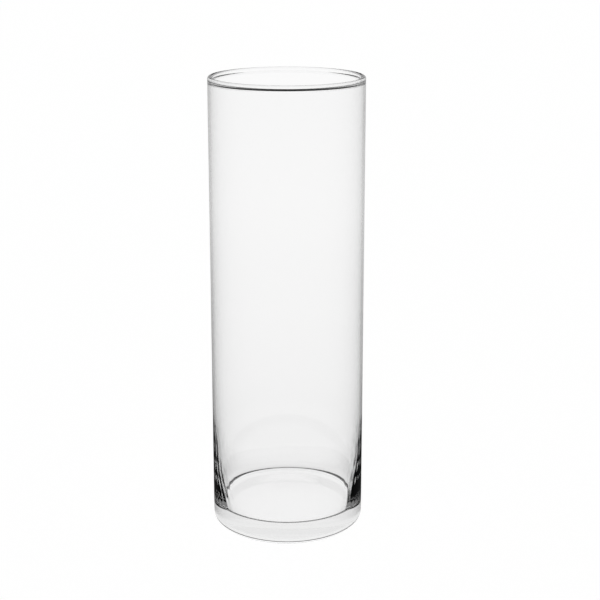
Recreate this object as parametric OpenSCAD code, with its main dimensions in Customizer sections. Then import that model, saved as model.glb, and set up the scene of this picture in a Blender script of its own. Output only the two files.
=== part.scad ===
// Cylinder vase in clear glass: a straight round tube with a heavy floor and a
// fire-polished bead around the mouth.
//
// The vase is one continuous piece of glass. Level planes divide it here into the regions
// that it is described by: the rim bead, the straight wall, the lower wall that thickens
// towards the floor, and the base. Neighbouring regions meet face to face on those planes.
//
// Frame: millimetres, +Z up, origin at the centre of the circle that the vase stands on.

/* [Overall] */
// Height from the table to the top of the rim
height = 300; // [200:1:450]
// Outside diameter, the same at the rim, the wall and the heel
diameter = 100; // [80:1:160]

/* [Rim] */
// Thickness of the round bead on the lip
bead_d = 3; // [2.6:0.1:5]
// Radius of the inside curve that blends the bead into the wall
bead_blend_r = 3; // [2:0.5:5]

/* [Wall] */
// Thickness of the straight part of the wall
wall_t = 1.5; // [1.2:0.1:2.4]
// Height at which the wall starts to thicken towards the floor
taper_start_z = 80; // [80:1:130]
// Radius of the long inside curve of the lower wall, seen in section
taper_r = 480; // [300:10:480]

/* [Base] */
// Thickness of the floor above the table
floor_t = 15; // [8:0.5:18]
// Radius of the inside corner between the floor and the wall
floor_fillet_r = 2; // [1:0.5:8]
// Radius of the rounded outside edge at the foot
heel_r = 7; // [3:0.5:10]
// Width of the flat ring that touches the table
bearing_w = 6; // [3:0.5:10]
// Depth of the shallow hollow under the base
hollow_depth = 0.6; // [0.5:0.1:2]

/* [Hidden] */

$fn = 180;
// Facets of the two very large circles, of which only a short arc shows
arc_fn = 720;
// Glass that stands above the floor fillet and still belongs to the base
base_margin = 4;

clear_glass = [0.88, 0.92, 0.92, 0.45];

outer_r = diameter / 2;
inner_r = outer_r - wall_t;

// Bead: a circle flush with the outside, blended into the inner wall by a hollow arc that
// touches both
bead_r = bead_d / 2;
bead_x = outer_r - bead_r;
bead_z = height - bead_r;
blend_x = inner_r - bead_blend_r;
blend_reach = bead_blend_r + bead_r;
blend_z = bead_z - sqrt(pow(blend_reach, 2) - pow(bead_x - blend_x, 2));
blend_touch_x = blend_x + (bead_x - blend_x) * bead_blend_r / blend_reach;

// Lower wall: the inside is an arc that leaves the straight wall at taper_start_z
taper_x = inner_r - taper_r;
base_top_z = floor_t + floor_fillet_r + base_margin;

// Floor fillet: touches the flat floor and the inside of the taper arc. It is set a hair past
// touching, so that the two arcs cross at one clean edge
fillet_overlap = 0.001;
fillet_reach = taper_r - floor_fillet_r + fillet_overlap;
fillet_z = floor_t + floor_fillet_r;
fillet_x = taper_x + sqrt(pow(fillet_reach, 2) - pow(taper_start_z - fillet_z, 2));
fillet_touch_z = taper_start_z + (fillet_z - taper_start_z) * taper_r / fillet_reach;

// Hollow under the base: a shallow cap inside the bearing ring
hollow_rim_r = outer_r - heel_r - bearing_w;
hollow_r = (pow(hollow_rim_r, 2) + pow(hollow_depth, 2)) / (2 * hollow_depth);

// Rectangle in the half section, given by its two radii and two heights
module band(r_low, r_high, z_low, z_high) {
    translate([r_low, z_low]) square([r_high - r_low, z_high - z_low]);
}

// Disc whose right-hand edge is the inside of the lower wall
module taper_disc() {
    translate([taper_x, taper_start_z]) circle(taper_r, $fn = arc_fn);
}

module rim_section() {
    translate([bead_x, bead_z]) circle(bead_r);
    difference() {
        band(blend_touch_x, outer_r, blend_z, bead_z);
        translate([blend_x, blend_z]) circle(bead_blend_r);
    }
}

module lower_wall_section() {
    difference() {
        band(fillet_x, outer_r, base_top_z, taper_start_z);
        taper_disc();
    }
}

// Space inside the base: flat floor, fillet and the foot of the lower wall
module floor_cavity_section() {
    intersection() {
        band(0, outer_r, fillet_touch_z, taper_start_z);
        taper_disc();
    }
    band(0, fillet_x, floor_t, fillet_z + floor_fillet_r);
    translate([fillet_x, fillet_z]) circle(floor_fillet_r);
}

module heel_section() {
    band(0, outer_r - heel_r, 0, base_top_z);
    band(0, outer_r, heel_r, base_top_z);
    translate([outer_r - heel_r, heel_r]) circle(heel_r);
}

module base_section() {
    difference() {
        heel_section();
        floor_cavity_section();
        translate([0, hollow_depth - hollow_r]) circle(hollow_r, $fn = arc_fn);
    }
}

module rim_bead() {
    color(clear_glass) rotate_extrude() rim_section();
}

module wall() {
    color(clear_glass) rotate_extrude() band(inner_r, outer_r, taper_start_z, blend_z);
}

module lower_wall() {
    color(clear_glass) rotate_extrude() lower_wall_section();
}

module base() {
    color(clear_glass) rotate_extrude() base_section();
}

rim_bead();
wall();
lower_wall();
base();
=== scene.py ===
"""A clear glass cylinder vase on a pale floor, in soft studio light.

The glass is one surface of revolution that follows the CAD sizes, with the faint unevenness of real
machine-made glass on its inside. It is cut at the CAD's level planes into four closed pieces: rim, wall,
lower wall and base. The cut faces lie inside the glass and are clear, so light crosses them as it crosses
solid glass.
"""
from math import atan2, ceil, cos, pi, radians, sin, sqrt

import bpy
import numpy as np
from mathutils import Euler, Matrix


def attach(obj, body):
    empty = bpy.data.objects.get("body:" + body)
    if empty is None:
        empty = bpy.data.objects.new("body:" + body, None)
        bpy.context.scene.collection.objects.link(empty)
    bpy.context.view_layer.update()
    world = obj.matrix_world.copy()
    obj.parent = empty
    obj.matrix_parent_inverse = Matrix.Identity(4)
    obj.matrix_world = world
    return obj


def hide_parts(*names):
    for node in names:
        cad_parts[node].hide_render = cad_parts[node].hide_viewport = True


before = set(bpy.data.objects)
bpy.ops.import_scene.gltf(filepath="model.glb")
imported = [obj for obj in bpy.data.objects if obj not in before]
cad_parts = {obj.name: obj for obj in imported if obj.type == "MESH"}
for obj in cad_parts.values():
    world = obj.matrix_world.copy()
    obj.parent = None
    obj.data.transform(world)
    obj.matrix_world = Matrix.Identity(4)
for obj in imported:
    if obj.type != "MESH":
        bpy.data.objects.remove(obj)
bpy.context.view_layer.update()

# Mesh fineness
SEGMENTS = 432
OUTER_STEP = 0.005
INNER_STEP = 0.005
FOOT_STEP = 0.00125
ARC_STEP = radians(5)
DISC_RINGS = 16

# Camera: in front of the vase, looking down at it
CAMERA_DISTANCE = 0.93
CAMERA_HEIGHT = 0.414
CAMERA_PITCH = radians(15.66)
CAMERA_YAW = radians(-0.518)
CAMERA_LENS = 88.3
SENSOR_WIDTH = 36.0

# Unevenness of the inner wall. Depths, spacings and heights are in metres, and a pitch is metres per turn
FOOT_HEIGHTS = (0.020, 0.090)
RIM_FADE = 0.02
SIDE_FALLOFF = 6
RIDGE_FALLOFF = 3
UPPER_LOBES = 0.15
THREE_LOBES = 0.0001
FIVE_LOBES = 0.00006
LOBE_TWIST = (40, -25)
DRIFT_SWING = 1.5
DRIFT_PITCH = 0.037
THREAD_DEPTH = 0.00003
THREAD_PITCH = 0.028
THREAD_SPACING = 0.0045
RIDGE_LEFT = 0.00012
RIDGE_RIGHT = 0.00017
RIDGE_PITCH = 0.0110
THIN_LEFT = 0.0002
THIN_RIGHT = 0.0004

# Glass: its colour where it is seen head on, and where light runs along the surface. The darker edge is
# partly the glass's own absorption over a longer path and partly painted shade
TINT_FACING = 0.995
TINT_EDGE = 0.98

# Floor: how large it is, how far under the vase, how bright, and how much of it is matt paint
FLOOR_RADIUS = 60.0
FLOOR_GAP = 0.0002
FLOOR_GLOW = 1.13
FLOOR_MATT = 0.15

# Light. The sky and the floor have one brightness for light that passes straight through the glass, one for
# what the glass mirrors on its outside, and one for what it mirrors inside itself.
# The sky's brightness by elevation in degrees
SKY_THROUGH = [(-90, 1.0), (26, 1.0), (31, 0.02), (90, 0.02)]
SKY_OUTSIDE = 0.6
SKY_INSIDE = [(-90, 0.62), (2, 0.62), (12, 0.88), (90, 0.88)]
# The floor's brightness by distance from the vase's axis in metres, out to FLOOR_REACH. Only the glass shows
# these values. Near the vase they are painted shadow and painted shade on the floor.
FLOOR_REACH = 2.0
# Seen through the glass: a painted soft shadow round the foot, darkest just outside it at 0.054 m and gone by
# 0.5 m. The camera sees the floor plain white
FLOOR_THROUGH_PAINTED_SHADOW = [
    (0, 0.97), (0.051, 0.97), (0.054, 0.80), (0.07, 0.83), (0.086, 0.92), (0.1, 0.945), (0.3, 0.98),
    (0.5, 1.0),
]
# Mirrored on the glass's outside: painted dark reflection, a near-black ring round the vase from 0.065 m to
# 0.18 m, paler further off
FLOOR_OUTSIDE_PAINTED_SHADE = [
    (0, 0.9), (0.054, 0.9), (0.065, 0.04), (0.12, 0.02), (0.18, 0.06), (0.25, 0.25), (0.35, 0.5), (0.5, 0.55),
    (1.0, 0.65), (2.0, 0.62),
]
# Mirrored inside the glass: a painted contact shadow, a near-black ring under the heel from 0.041 m to 0.053
# m, and darker beyond 0.09 m
FLOOR_INSIDE_PAINTED_SHADOW = [
    (0, 0.85), (0.037, 0.85), (0.041, 0.02), (0.053, 0.02), (0.06, 0.88), (0.09, 0.88), (0.12, 0.5),
    (0.5, 0.5), (1.0, 0.65), (2.0, 0.62),
]

# A black card over the mouth, a dark sheet seen only in the glass that paints the rim's dark reflection: how
# high it hangs over the rim, and its reach to the sides, front and back
CARD_LIFT = 0.016
CARD_SIDE = 0.070
CARD_FRONT = 0.070
CARD_BACK = 0.080


# ---------------------------------------------------------------- sizes, read from the CAD nodes

def radii_and_heights(node):
    """Radius and height of every vertex of a CAD node."""
    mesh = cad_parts[node].data
    points = np.empty(len(mesh.vertices) * 3)
    mesh.vertices.foreach_get("co", points)
    points = points.reshape(-1, 3)
    return np.hypot(points[:, 0], points[:, 1]), points[:, 2]


class Sizes:
    """The vase's driving sizes in metres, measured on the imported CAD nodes."""

    def __init__(self):
        tiny = 1e-6
        rim_r, rim_z = radii_and_heights("rim_bead")
        wall_r, _ = radii_and_heights("wall")
        lower_r, lower_z = radii_and_heights("lower_wall")
        base_r, base_z = radii_and_heights("base")
        ring_r = base_r[base_z < base_z.min() + tiny]
        above_ring = base_z[base_r < ring_r.max() - tiny]

        self.top = rim_z.max()
        self.outer = wall_r.max()
        self.inner = wall_r.min()
        self.bead = (self.outer - rim_r.min()) / 2
        self.rim_from = rim_z.min()
        self.taper_from = lower_z.max()
        self.base_top = lower_z.min()
        self.ring_in = ring_r.min()
        self.heel = self.outer - ring_r.max()
        self.hollow = base_z[base_r < tiny].min()
        self.floor = above_ring[above_ring > self.hollow + tiny].min()
        self.floor_edge = base_r[abs(base_z - self.floor) < tiny].max()

        rise = self.taper_from - self.base_top
        inset = self.inner - lower_r.min()
        self.taper = (rise ** 2 + inset ** 2) / (2 * inset)
        self.taper_x = self.inner - self.taper
        across = self.floor_edge - self.taper_x
        drop = self.taper_from - self.floor
        self.fillet = (self.taper ** 2 - across ** 2 - drop ** 2) / (2 * (self.taper - drop))
        overhang = self.outer - self.bead - self.inner
        reach = self.top - self.bead - self.rim_from
        self.blend = (overhang ** 2 + reach ** 2 - self.bead ** 2) / (2 * (self.bead - overhang))


size = Sizes()


# ---------------------------------------------------------------- the glass surface

def arc(centre, radius, start, end):
    """Points on an arc, by angle in the half section, from just after start up to and including end."""
    steps = max(2, ceil(abs(end - start) / ARC_STEP))
    angles = [start + (end - start) * k / steps for k in range(1, steps + 1)]
    return [(centre[0] + radius * cos(a), centre[1] + radius * sin(a)) for a in angles]


def line(start, end, step):
    """Evenly spaced points from just after start up to and including end."""
    length = sqrt((end[0] - start[0]) ** 2 + (end[1] - start[1]) ** 2)
    steps = max(1, ceil(length / step))
    return [
        (start[0] + (end[0] - start[0]) * k / steps, start[1] + (end[1] - start[1]) * k / steps)
        for k in range(1, steps + 1)
    ]


def taper_radius(z):
    """Inner radius of the lower wall at a height."""
    return size.taper_x + sqrt(size.taper ** 2 - (size.taper_from - z) ** 2)


def outside_section():
    """Half section of the outside: from the centre of the underside, round the heel and up to the bead."""
    hollow_r = (size.ring_in ** 2 + size.hollow ** 2) / (2 * size.hollow)
    radii = [size.ring_in * k / DISC_RINGS for k in range(DISC_RINGS + 1)]
    points = [(r, size.hollow - hollow_r + sqrt(hollow_r ** 2 - r ** 2)) for r in radii]
    heel_x = size.outer - size.heel
    points += line(points[-1], (heel_x, 0), OUTER_STEP)
    points += arc((heel_x, size.heel), size.heel, -pi / 2, 0)
    for level in (size.base_top, size.taper_from, size.rim_from, size.top - size.bead):
        points += line(points[-1], (size.outer, level), OUTER_STEP)
    return points


def bead_section():
    """Half section of the lip: over the bead and down its inside blend to the straight inner wall."""
    bead_at = (size.outer - size.bead, size.top - size.bead)
    blend_at = (size.inner - size.blend, size.rim_from)
    towards_bead = atan2(bead_at[1] - blend_at[1], bead_at[0] - blend_at[0])
    return arc(bead_at, size.bead, 0, pi + towards_bead) + arc(blend_at, size.blend, towards_bead, 0)


def inside_section():
    """Half section of the inside: down the wall, along the taper, round the fillet to the floor's centre."""
    points = line((size.inner, size.rim_from), (size.inner, size.taper_from), INNER_STEP)
    fillet_z = size.floor + size.fillet
    touch_angle = atan2(fillet_z - size.taper_from, size.floor_edge - size.taper_x)
    touch_z = size.taper_from + size.taper * sin(touch_angle)
    for start, end in ((size.taper_from, size.base_top), (size.base_top, touch_z)):
        points += [(taper_radius(z), z) for _, z in line((0, start), (0, end), FOOT_STEP)]
    points += arc((size.floor_edge, fillet_z), size.fillet, touch_angle, -pi / 2)
    points += line(points[-1], (0, size.floor), size.floor_edge / DISC_RINGS)
    return points


def smooth_step(value, low, high):
    """0 below low, 1 above high, with a smooth rise between them."""
    t = np.clip((value - low) / (high - low), 0, 1)
    return t * t * (3 - 2 * t)


def unevenness(theta, y, z):
    """How far the inner wall stands in from its true radius: low lobes all the way up, and near the foot a
    thinner left and right side, with steep threads and level ridges."""
    foot = 1 - smooth_step(z, *FOOT_HEIGHTS)
    right, left = np.clip(np.cos(theta), 0, 1) ** SIDE_FALLOFF, np.clip(-np.cos(theta), 0, 1) ** SIDE_FALLOFF
    lobes = THREE_LOBES * np.cos(3 * theta + LOBE_TWIST[0] * z)
    lobes = lobes + FIVE_LOBES * np.cos(5 * theta + LOBE_TWIST[1] * z + 1.0)
    drift = DRIFT_SWING * np.sin(2 * pi * z / DRIFT_PITCH + 2 * theta)
    turns = z / THREAD_PITCH - y / THREAD_SPACING
    threads = THREAD_DEPTH * (left + right) * np.sin(2 * pi * turns + drift)
    pulse = ((1 + np.sin(2 * pi * z / RIDGE_PITCH + drift / 3)) / 2) ** 2
    ridges = (RIDGE_LEFT * left ** RIDGE_FALLOFF + RIDGE_RIGHT * right ** RIDGE_FALLOFF) * pulse
    thin_sides = THIN_LEFT * left + THIN_RIGHT * right
    return (UPPER_LOBES + (1 - UPPER_LOBES) * foot) * lobes + foot * (threads + ridges - thin_sides)


def glass_surface():
    """The whole glass surface as rings of points with their normals, its true section, and where in it the
    lip starts and the inside starts."""
    body = outside_section()
    outside = body + bead_section()
    section = np.array(outside + inside_section())
    theta = np.arange(SEGMENTS) * 2 * pi / SEGMENTS
    r, z = section[:, :1], section[:, 1:]
    inside = (np.arange(len(section)) >= len(outside))[:, None]
    off_floor = smooth_step(r, 0.4 * size.floor_edge, size.floor_edge)
    fade = off_floor * smooth_step(size.rim_from - z, 0, RIM_FADE)
    r = r - inside * fade * unevenness(theta, r * np.sin(theta), z)
    points = np.stack([r * np.cos(theta), r * np.sin(theta), np.broadcast_to(z, r.shape)], axis=-1)
    along = np.gradient(points, axis=0)
    around = np.roll(points, -1, axis=1) - np.roll(points, 1, axis=1)
    normals = np.cross(around, along)
    normals[0], normals[-1] = (0, 0, -1), (0, 0, 1)
    normals /= np.linalg.norm(normals, axis=-1, keepdims=True)
    return points, normals, section, len(body), len(outside)


def ring_at(section, level, rings):
    """The ring, among some, whose true height is a level."""
    return min(rings, key=lambda k: abs(section[k][1] - level))


def place(name, data):
    """A new object in the scene."""
    item = bpy.data.objects.new(name, data)
    bpy.context.scene.collection.objects.link(item)
    return item


def glass_piece(name, node, rings, points, normals, materials):
    """A closed mesh from some rings of the surface. A cut face joins two rings that are not neighbours."""
    poles = (0, len(points) - 1)
    loop = list(zip(rings, rings[1:])) + ([(rings[-1], rings[0])] if rings[0] else [])
    spots, corner = [], {}
    for ring in rings:
        corner[ring] = np.arange(SEGMENTS) + len(spots)
        if ring in poles:
            corner[ring] = np.full(SEGMENTS, len(spots))
        spots.extend(points[ring][:1] if ring in poles else points[ring])

    faces, face_normals, cut = [], [], []
    for a, b in loop:
        is_cut = abs(a - b) > 1
        flat = np.cross(points[a][1] - points[a][0], points[b][0] - points[a][0])
        for j in range(SEGMENTS):
            k = (j + 1) % SEGMENTS
            face = [(a, j), (a, k), (b, k), (b, j)]
            if a in poles:
                face.pop(0)
            if b in poles:
                face.pop()
            faces.append([int(corner[ring][m]) for ring, m in face])
            face_normals.extend(flat if is_cut else normals[ring][m] for ring, m in face)
            cut.append(is_cut)

    mesh = bpy.data.meshes.new(name)
    mesh.from_pydata([tuple(p) for p in spots], [], faces)
    for material in materials:
        mesh.materials.append(material)
    mesh.polygons.foreach_set("use_smooth", [True] * len(faces))
    mesh.polygons.foreach_set("material_index", [int(c) for c in cut])
    edge_faces = {}
    for face in mesh.polygons:
        for key in face.edge_keys:
            edge_faces.setdefault(key, []).append(cut[face.index])
    for edge in mesh.edges:
        edge.use_edge_sharp = any(edge_faces[edge.key])
    mesh.normals_split_custom_set([tuple(n / np.linalg.norm(n)) for n in face_normals])
    piece = place(name, mesh)
    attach(piece, "root")
    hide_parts(node)
    return piece


def build_vase(materials):
    """The four glass pieces, cut from one surface at the CAD's level planes."""
    points, normals, section, first_lip, first_inside = glass_surface()
    last = len(points) - 1
    levels = (size.base_top, size.taper_from, size.rim_from)
    out = [ring_at(section, level, range(first_lip)) for level in levels]
    back = [ring_at(section, level, range(first_inside - 1, last)) for level in levels]

    def run(start, end):
        return list(range(start, end + 1))

    glass_piece("vase_base", "base", run(0, out[0]) + run(back[0], last), points, normals, materials)
    glass_piece("vase_lower_wall", "lower_wall", run(out[0], out[1]) + run(back[1], back[0]),
                points, normals, materials)
    glass_piece("vase_wall", "wall", run(out[1], out[2]) + run(back[2], back[1]), points, normals, materials)
    glass_piece("vase_rim", "rim_bead", run(out[2], back[2]), points, normals, materials)


# ---------------------------------------------------------------- materials and light

def add(tree, kind, **inputs):
    """A shader node with some input values set, by name with _ for a space."""
    node = tree.nodes.new("ShaderNode" + kind)
    for name, value in inputs.items():
        node.inputs[name.replace("_", " ")].default_value = value
    return node


def grey(value):
    """An opaque grey as a colour."""
    return (value, value, value, 1.0)


def new_material(name):
    """A node material with an empty tree and its output node."""
    material = bpy.data.materials.new(name)
    material.use_nodes = True
    tree = material.node_tree
    tree.nodes.clear()
    return material, tree, tree.nodes.new("ShaderNodeOutputMaterial")


def ramp(tree, stops, interpolation="EASE"):
    """A grey colour ramp from (position, value) stops."""
    node = tree.nodes.new("ShaderNodeValToRGB")
    node.color_ramp.interpolation = interpolation
    elements = node.color_ramp.elements
    while len(elements) < len(stops):
        elements.new(0.5)
    for element, (position, value) in zip(elements, stops):
        element.position = position
        element.color = grey(value)
    return node


def has_met(tree, kind):
    """1 for light that the glass has reflected ("Glossy Depth") or let in ("Transmission Depth"), else 0."""
    path = tree.nodes.new("ShaderNodeLightPath")
    test = tree.nodes.new("ShaderNodeMath")
    test.operation = "GREATER_THAN"
    test.inputs[1].default_value = 0.5
    tree.links.new(path.outputs[kind], test.inputs[0])
    return test.outputs[0]


def choose(tree, factor, first, second):
    """The first colour where a factor is 0, and the second where it is 1."""
    mix = add(tree, "Mix")
    mix.data_type = "RGBA"
    tree.links.new(factor, mix.inputs[0])
    tree.links.new(first, mix.inputs[6])
    tree.links.new(second, mix.inputs[7])
    return mix.outputs[2]


def clear_glass():
    """Soda-lime glass: colourless head on, a little denser where light runs along the surface. This is partly
    the glass's own absorption over the longer path and partly painted shade that darkens its edges.
    """
    material, tree, output = new_material("clear_glass")
    glass = add(tree, "BsdfPrincipled", Roughness=0.0, IOR=1.52, Transmission_Weight=1.0)
    # Painted shade: the tint darkens the glass where its surface turns away from view, on top of its own
    # slight absorption
    facing = add(tree, "LayerWeight", Blend=0.5)
    tint = ramp(tree, [(0.0, TINT_FACING), (1.0, TINT_EDGE)])
    tree.links.new(facing.outputs["Facing"], tint.inputs["Fac"])
    tree.links.new(tint.outputs["Color"], glass.inputs["Base Color"])
    tree.links.new(glass.outputs[0], output.inputs["Surface"])
    return material


def joint_plane():
    """The cut faces between pieces: nothing there to see, because the real glass runs on."""
    material, tree, output = new_material("joint_plane")
    tree.links.new(add(tree, "BsdfTransparent").outputs[0], output.inputs["Surface"])
    return material


def sine_stops(stops):
    """Ramp stops for the sine of an elevation, from (degrees, value)."""
    return [((1 + sin(radians(angle))) / 2, value) for angle, value in stops]


def floor_stops(stops):
    """Ramp stops for the distance from the vase's axis, from (metres, value)."""
    return [(distance / FLOOR_REACH, value) for distance, value in stops]


def studio_world():
    """Plain white to the camera. What the glass passes and mirrors of it is as the SKY values say."""
    world = bpy.data.worlds.new("studio")
    world.use_nodes = True
    tree = world.node_tree
    tree.nodes.clear()
    output = tree.nodes.new("ShaderNodeOutputWorld")
    coordinate = tree.nodes.new("ShaderNodeTexCoord")
    split = tree.nodes.new("ShaderNodeSeparateXYZ")
    height = add(tree, "MapRange", From_Min=-1.0, From_Max=1.0)
    tree.links.new(coordinate.outputs["Generated"], split.inputs[0])
    tree.links.new(split.outputs["Z"], height.inputs["Value"])
    through, inside = ramp(tree, sine_stops(SKY_THROUGH)), ramp(tree, sine_stops(SKY_INSIDE))
    for each in (through, inside):
        tree.links.new(height.outputs[0], each.inputs["Fac"])
    outside = add(tree, "RGB")
    outside.outputs[0].default_value = grey(SKY_OUTSIDE)
    mirrored = choose(tree, has_met(tree, "Transmission Depth"), outside.outputs[0], inside.outputs["Color"])
    colour = choose(tree, has_met(tree, "Glossy Depth"), through.outputs["Color"], mirrored)
    seen = add(tree, "Background", Color=grey(1.0), Strength=1.0)
    unseen = add(tree, "Background", Strength=1.0)
    tree.links.new(colour, unseen.inputs["Color"])
    path = tree.nodes.new("ShaderNodeLightPath")
    mix = tree.nodes.new("ShaderNodeMixShader")
    tree.links.new(path.outputs["Is Camera Ray"], mix.inputs[0])
    tree.links.new(unseen.outputs[0], mix.inputs[1])
    tree.links.new(seen.outputs[0], mix.inputs[2])
    tree.links.new(mix.outputs[0], output.inputs["Surface"])
    bpy.context.scene.world = world


def pale_floor():
    """A white floor that mostly glows, so that the vase's shadow stays faint. What the glass passes and
    mirrors of it is as the FLOOR values say. That is a painted shadow round the foot seen through the glass,
    and painted dark rings in what the glass mirrors."""
    material, tree, output = new_material("pale_floor")
    glow = add(tree, "Emission", Strength=FLOOR_GLOW)
    matt = add(tree, "BsdfDiffuse", Color=grey(1.0))
    lit = add(tree, "MixShader", Fac=FLOOR_MATT)
    tree.links.new(glow.outputs[0], lit.inputs[1])
    tree.links.new(matt.outputs[0], lit.inputs[2])

    coordinate = tree.nodes.new("ShaderNodeTexCoord")
    distance = tree.nodes.new("ShaderNodeVectorMath")
    distance.operation = "LENGTH"
    scale = add(tree, "MapRange", From_Min=0.0, From_Max=FLOOR_REACH)
    tree.links.new(coordinate.outputs["Object"], distance.inputs[0])
    tree.links.new(distance.outputs["Value"], scale.inputs["Value"])
    # These ramps paint shadow and shade on the floor round the vase, seen only in the glass
    through, outside, inside = (
        ramp(tree, floor_stops(stops), "LINEAR") for stops in (FLOOR_THROUGH_PAINTED_SHADOW, FLOOR_OUTSIDE_PAINTED_SHADE, FLOOR_INSIDE_PAINTED_SHADOW)
    )
    for each in (through, outside, inside):
        tree.links.new(scale.outputs[0], each.inputs["Fac"])
    direct = add(tree, "RGB")
    direct.outputs[0].default_value = grey(1.0)
    let_in = has_met(tree, "Transmission Depth")
    seen = choose(tree, let_in, direct.outputs[0], through.outputs["Color"])
    tree.links.new(seen, glow.inputs["Color"])
    # Glow for what the glass mirrors, with the painted dark rings round the vase
    dim = add(tree, "Emission", Strength=1.0)
    mirrored = choose(tree, let_in, outside.outputs["Color"], inside.outputs["Color"])
    tree.links.new(mirrored, dim.inputs["Color"])

    mix = tree.nodes.new("ShaderNodeMixShader")
    tree.links.new(has_met(tree, "Glossy Depth"), mix.inputs[0])
    tree.links.new(lit.outputs[0], mix.inputs[1])
    tree.links.new(dim.outputs[0], mix.inputs[2])
    tree.links.new(mix.outputs[0], output.inputs["Surface"])
    return material


def stage_sheet(name, corners, material):
    """A flat sheet that is part of the studio, not of the vase."""
    mesh = bpy.data.meshes.new(name)
    mesh.from_pydata(corners, [], [list(range(len(corners)))])
    mesh.materials.append(material)
    sheet = place(name, mesh)
    return sheet


def build_floor():
    """A plain round floor just under the vase."""
    angles = np.arange(SEGMENTS) * 2 * pi / SEGMENTS
    corners = [(FLOOR_RADIUS * cos(a), FLOOR_RADIUS * sin(a), -FLOOR_GAP) for a in angles]
    stage_sheet("floor", corners, pale_floor())


def black_card():
    """Dead black, for the card over the mouth."""
    material, tree, output = new_material("black_card")
    tree.links.new(add(tree, "BsdfDiffuse", Color=grey(0.0)).outputs[0], output.inputs["Surface"])
    return material


def build_lip_card():
    """A black card over the mouth, unseen by the camera, by diffuse light and by shadows: a dark sheet seen
    only in the glass. Its image in the lip paints the rim's dark line.
    """
    z = size.top + CARD_LIFT
    front = [(-CARD_SIDE, -CARD_FRONT, z), (CARD_SIDE, -CARD_FRONT, z)]
    back = [(CARD_SIDE, CARD_BACK, z), (-CARD_SIDE, CARD_BACK, z)]
    card = stage_sheet("lip_card", front + back, black_card())
    card.visible_camera = card.visible_diffuse = card.visible_shadow = False


def build_camera():
    """The camera stands in front and looks down at the vase, which is a little left of the middle."""
    data = bpy.data.cameras.new("camera")
    data.lens = CAMERA_LENS
    data.sensor_width = SENSOR_WIDTH
    camera = place("camera", data)
    camera.location = (0, -CAMERA_DISTANCE, CAMERA_HEIGHT)
    camera.rotation_euler = Euler((pi / 2 - CAMERA_PITCH, 0, CAMERA_YAW))
    bpy.context.scene.camera = camera


build_camera()
build_vase([clear_glass(), joint_plane()])
build_floor()
build_lip_card()
studio_world()
bpy.context.scene.view_settings.view_transform = "Standard"
